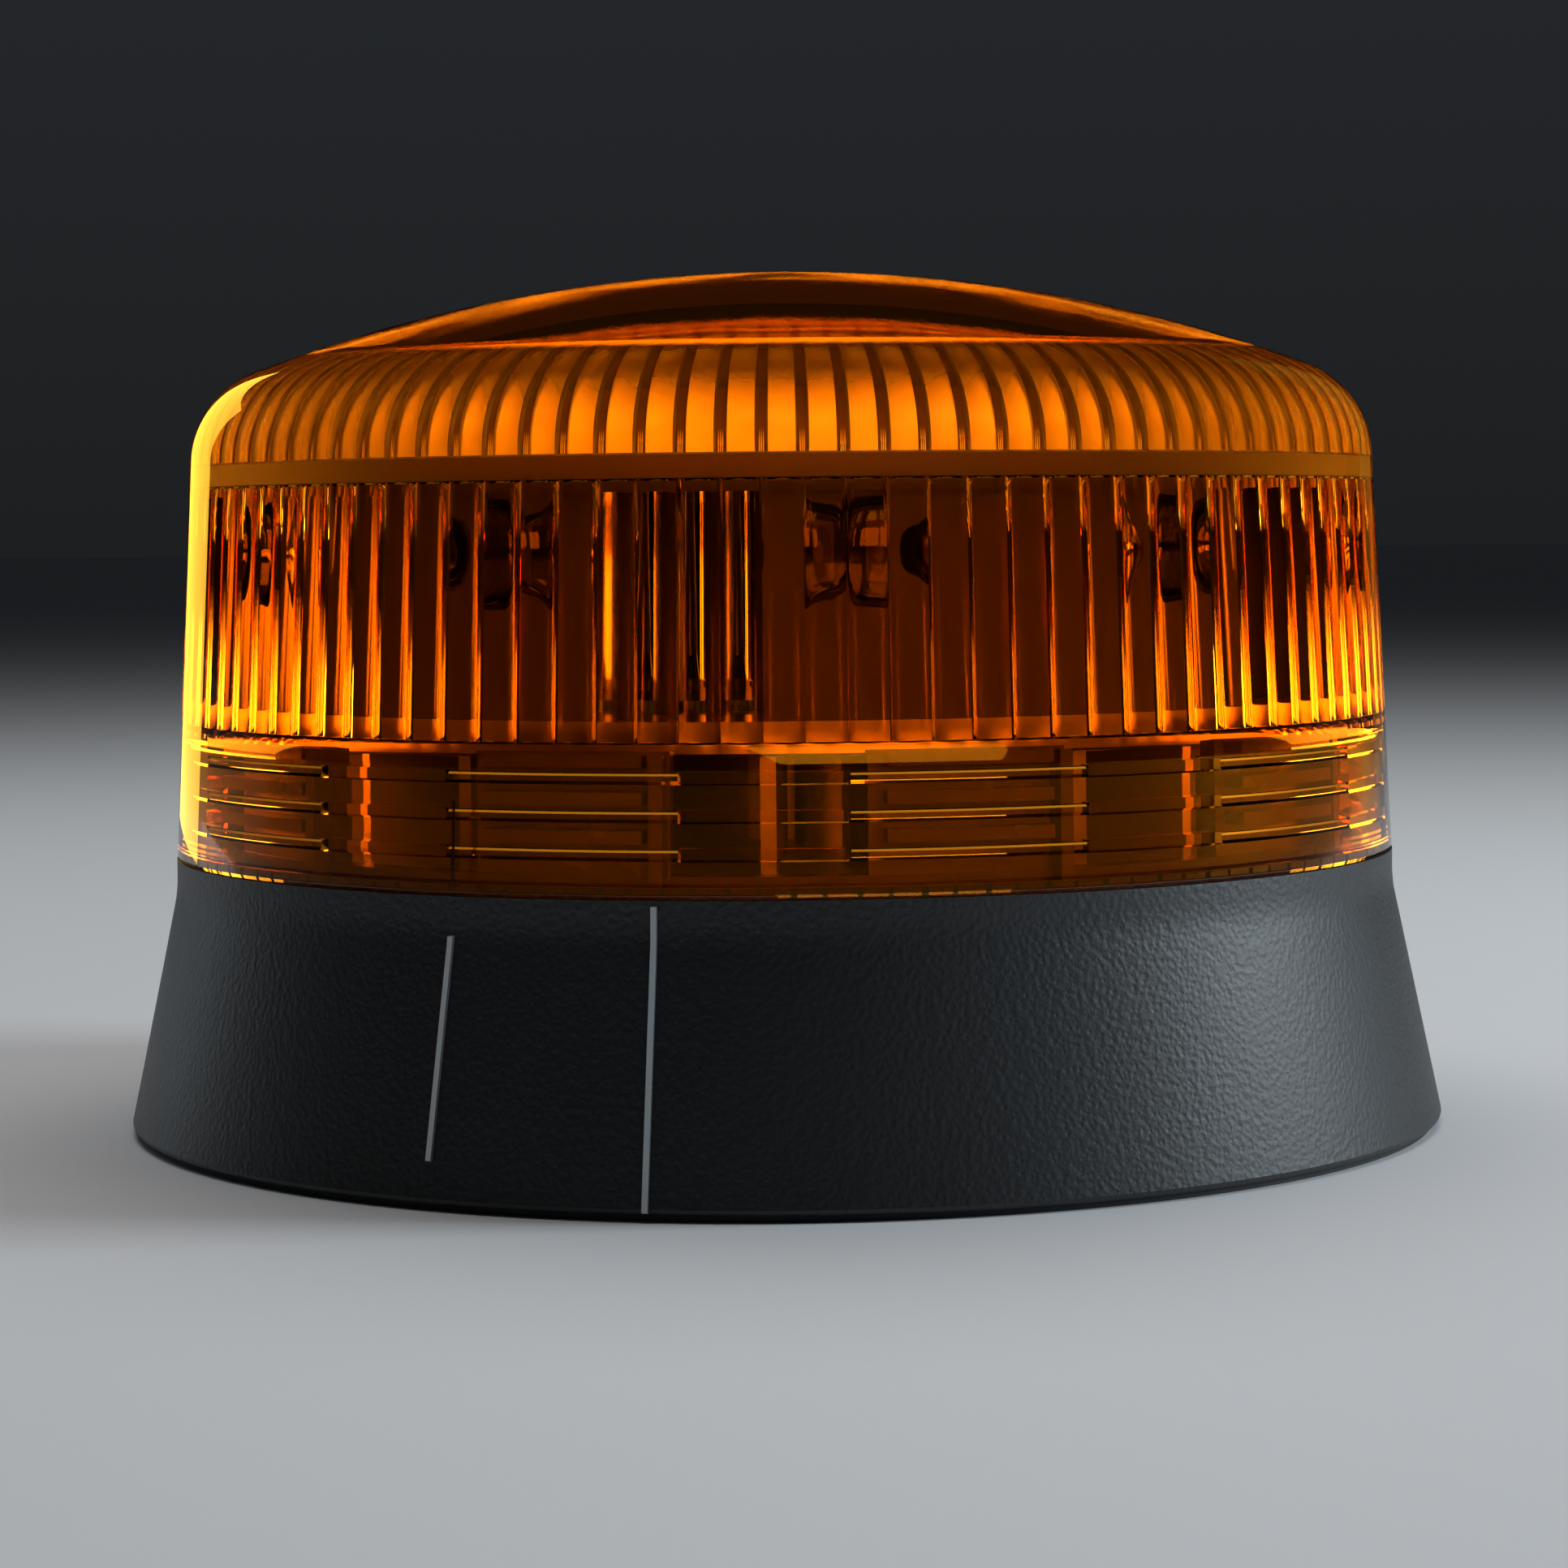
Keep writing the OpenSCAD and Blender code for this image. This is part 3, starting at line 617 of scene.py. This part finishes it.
def paint_cad():
    """Gives every CAD node but the lens its finish, and smooth shading that keeps its real edges."""
    steel = metal("plated_steel", (0.72, 0.73, 0.75), (0.5, 0.51, 0.53), 0.22)
    alloy = metal("cast_alloy", (0.74, 0.75, 0.77), (0.6, 0.61, 0.63), 0.34, 1.2, 0.05)
    finishes = {
        "base_housing": grained_black(),
        "base_gasket": rubber(),
        "threaded_inserts": turned_metal("turned_brass", (0.80, 0.6, 0.3), (0.6, 0.42, 0.18), 0.25),
        "bottom_cover": moulded_black("cover_plastic", 0.016, 0.42),
        "cover_seal": rubber(),
        "cover_screws": steel,
        "cable_grommet": rubber(),
        "breather_vent": moulded_black("vent_plastic", 0.05, 0.4),
        "driver_board": circuit_board("green_board", (0.015, 0.11, 0.045), (0.09, 0.32, 0.12)),
        "board_screws": steel,
        "capacitors": insulation("can_sleeve", (0.03, 0.045, 0.16)),
        "power_inductor": moulded_black("pressed_ferrite", 0.07, 0.5),
        "control_chip": moulded_black("chip_plastic", 0.015, 0.4),
        "power_transistors": moulded_black("transistor_plastic", 0.015, 0.4),
        "terminal_block": insulation("terminal_green", (0.03, 0.24, 0.08)),
        "tact_switch": steel,
        "mode_button": insulation("button_red", (0.36, 0.03, 0.025)),
        "button_boot": rubber(),
        "heat_sink": alloy,
        "heat_sink_screws": steel,
        "deck_grommet": rubber(),
        "wire_link": insulation("lead_red", (0.4, 0.02, 0.015)),
        "bayonet_collar": moulded_black("collar_plastic", 0.07, 0.2),
        "collar_screws": steel,
        "tower_plate": turned_metal("turned_plate", (0.82, 0.83, 0.84), (0.64, 0.65, 0.67), 0.2),
        "wiring_board": circuit_board("wiring_green", (0.015, 0.11, 0.045), (0.09, 0.32, 0.12)),
        "light_leads": insulation("thin_lead_red", (0.4, 0.02, 0.015)),
        "led_pods": glossy_black(),
        "reflector_cups": cup_painted_shade(),
        "led_boards": circuit_board("black_board", (0.02, 0.02, 0.022), (0.09, 0.09, 0.1)),
        "led_emitters": emitter(),
        "optic_lenses": optic_painted_shade(),
        "centre_post": turned_metal("turned_post", (0.42, 0.43, 0.45), (0.30, 0.31, 0.33), 0.24),
        "top_plate": glossy_black(),
        "pod_screws": steel,
        "lens_seal": rubber(),
    }
    for name, material in finishes.items():
        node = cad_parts[name]
        node.data.materials.clear()
        node.data.materials.append(material)
        normals = node.data.attributes.get("custom_normal")
        if normals:
            node.data.attributes.remove(normals)
        node.data.shade_smooth()
        weld = node.modifiers.new("weld", "WELD")
        weld.merge_threshold = 0.002 * MM
        split = node.modifiers.new("edges", "EDGE_SPLIT")
        split.split_angle = math.radians(24)


# ---------- floor, light and camera ----------

def make_floor():
    size = 20.0
    mesh = bpy.data.meshes.new("floor")
    corners = [(-size, -size, 0), (size, -size, 0), (size, size, 0), (-size, size, 0)]
    mesh.from_pydata(corners, [], [(0, 1, 2, 3)])
    floor = bpy.data.objects.new("floor", mesh)
    bpy.context.scene.collection.objects.link(floor)
    f = Finish("pale_floor", Roughness=0.6)
    f.set(Base_Color=f.colours(f.noise(400, 2), (0.66, 0.67, 0.68), (0.69, 0.69, 0.70)))
    mesh.materials.append(f.material)
    return floor


def soft_box(name, size, power, place, colour=(1, 1, 1), lights=None, aim=(0, 0, 0.05)):
    data = bpy.data.lights.new(name, "AREA")
    data.shape = "RECTANGLE"
    data.size, data.size_y = size
    data.energy = power
    data.color = colour
    lamp = bpy.data.objects.new(name, data)
    bpy.context.scene.collection.objects.link(lamp)
    lamp.location = place
    lamp.rotation_euler = (Vector(aim) - Vector(place)).to_track_quat("-Z", "Y").to_euler()
    if lights:
        lamp.light_linking.receiver_collection = lights
    return lamp


def light_group(name, objects):
    """Objects that some of the lamps are kept for."""
    group = bpy.data.collections.new(name)
    for each in objects:
        group.objects.link(each)
    return group


def make_light(lens, floor):
    """Warm lamps, most of them behind, for the amber lens only, and cool ones for the rest and the floor.

    Some warm lamps show only through the lens, and the rim and crown ones only as its reflections."""
    scene = bpy.context.scene
    scene.view_settings.view_transform = "Standard"
    world = bpy.data.worlds.new("studio")
    scene.world = world
    world.use_nodes = True
    tree = world.node_tree
    sky = tree.nodes["Background"]
    sky.inputs["Strength"].default_value = 0.024
    world.cycles_visibility.glossy = False
    place = tree.nodes.new("ShaderNodeTexCoord")
    height = tree.nodes.new("ShaderNodeSeparateXYZ")
    fade = tree.nodes.new("ShaderNodeValToRGB")
    tree.links.new(place.outputs["Generated"], height.inputs[0])
    tree.links.new(height.outputs["Z"], fade.inputs["Fac"])
    tree.links.new(fade.outputs["Color"], sky.inputs["Color"])
    fade.color_ramp.elements[0].color = (0.52, 0.57, 0.63, 1)
    fade.color_ramp.elements[1].color = (0.78, 0.88, 1.0, 1)
    fade.color_ramp.elements[1].position = 0.16
    amber_group = light_group("amber_group", [lens])
    rest = [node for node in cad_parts.values() if node.name != "dome_lens"]
    black_group = light_group("black_group", [floor] + rest)
    warm, deep, cool = (1.0, 0.92, 0.70), (1.0, 0.50, 0.045), (0.80, 0.92, 1.0)
    for side, power in ((-1, 1.0), (1, 0.95)):
        low = soft_box("low_glow", (0.6, 0.06), 2.2, (side * 0.62, 0.48, 0.03), warm, amber_group,
                       aim=(0, 0, 0.03))
        high = soft_box("high_glow", (0.6, 0.27), 3.8 * power, (side * 0.62, 0.48, 0.26), warm, amber_group,
                        aim=(0, 0, 0.08))
        low.visible_glossy = high.visible_glossy = False
    back = soft_box("back_glow", (1.2, 0.031), 0.95, (0, 0.8, 0.1145), warm, amber_group, aim=(0, 0, 0.085))
    back.visible_glossy = False
    back = soft_box("upper_back_glow", (1.2, 0.065), 1.7, (0, 0.8, 0.203), warm, amber_group,
                    aim=(0, 0, 0.085))
    back.visible_glossy = False
    front = soft_box("front_glow", (0.8, 0.8), 12, (0.3, -0.85, 0.55), warm, amber_group)
    front.visible_glossy = False
    rim = soft_box("rim_glow", (0.21, 0.26), 0.6, (-0.297, 0.446, 0.13), deep, amber_group)
    rim.visible_transmission = False
    rim = soft_box("faint_rim_glow", (0.2, 0.7), 0.07, (0.42, 0.74, 0.2), deep, amber_group)
    rim.visible_transmission = False
    sheen = soft_box("crown_glow", (1.2, 0.3), 0.05, (0, 0.8, 0.35), (1.0, 0.14, 0.01), amber_group)
    sheen.visible_transmission = False
    soft_box("left_box", (0.25, 0.7), 0.6, (-0.66, 0.50, 0.22), cool, black_group)
    soft_box("right_box", (0.26, 0.5), 6, (0.80, 0.0, 0.34), cool, black_group)
    soft_box("top_box", (0.9, 0.9), 5, (0, 0.2, 0.9), (1, 1, 1), black_group)


def make_camera():
    """Stands three base widths from the axis, below the height of the crown, and looks slightly down."""
    focal_length, distance, height, look_down, roll = 89.5, 0.450, 0.0665, 3.61, -0.55
    data = bpy.data.cameras.new("camera")
    data.sensor_width = 36
    data.lens = focal_length
    data.clip_start = 0.01
    camera = bpy.data.objects.new("camera", data)
    bpy.context.scene.collection.objects.link(camera)
    camera.location = (0, -distance, height)
    camera.rotation_euler = Euler((math.radians(90 - look_down), 0, 0), "XYZ")
    camera.rotation_euler.rotate_axis("Z", math.radians(roll))
    bpy.context.scene.camera = camera


make_camera()
lens = make_lens()
lens.data.materials.append(amber())
paint_cad()
make_light(lens, make_floor())
